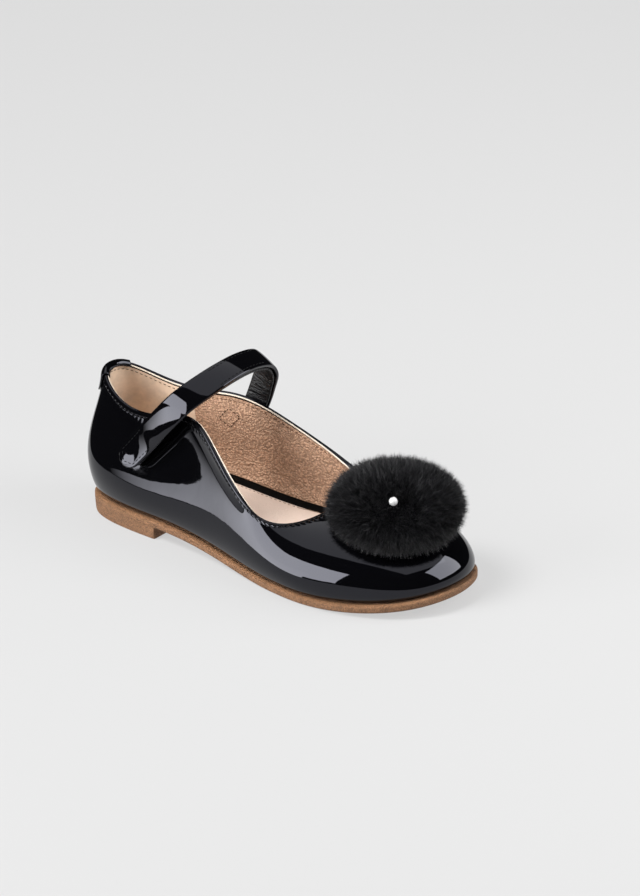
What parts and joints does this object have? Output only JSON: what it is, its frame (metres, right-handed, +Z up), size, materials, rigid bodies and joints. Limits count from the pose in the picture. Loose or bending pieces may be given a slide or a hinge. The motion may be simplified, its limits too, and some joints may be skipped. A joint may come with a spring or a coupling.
{
  "type": "mary jane ballet flat",
  "caption": "Child's low ballet flat in black patent leather with an instep strap, a fur pompom over the throat, a cream insole and a moulded sole with a low heel.",
  "frame": {"origin": "on the floor, under the middle of the shoe's box", "axes": "+X towards the toe, +Y towards the inner side of the right foot, +Z up"},
  "size_m": [0.188, 0.0712, 0.0793],
  "materials": {
    "sole_rubber": "matt brown crumb rubber",
    "patent_leather": "black patent, high gloss",
    "insole_leather": "cream, matt, stitched round its edge",
    "strap_lining": "black, satin",
    "closure_tape": "hook-and-loop tape, matt",
    "fur": "short dense black fur",
    "pearl": "pearl white, glossy"
  },
  "bodies": {
    "root": {"outsole": "sole_rubber", "upper": "patent_leather", "insole": "insole_leather", "heel_tab": "patent_leather", "strap": "patent_leather", "strap_lining": "strap_lining", "hook_patch": "closure_tape", "loop_patch": "closure_tape", "pompom": "fur", "pearl": "pearl"}
  },
  "joints": []
}
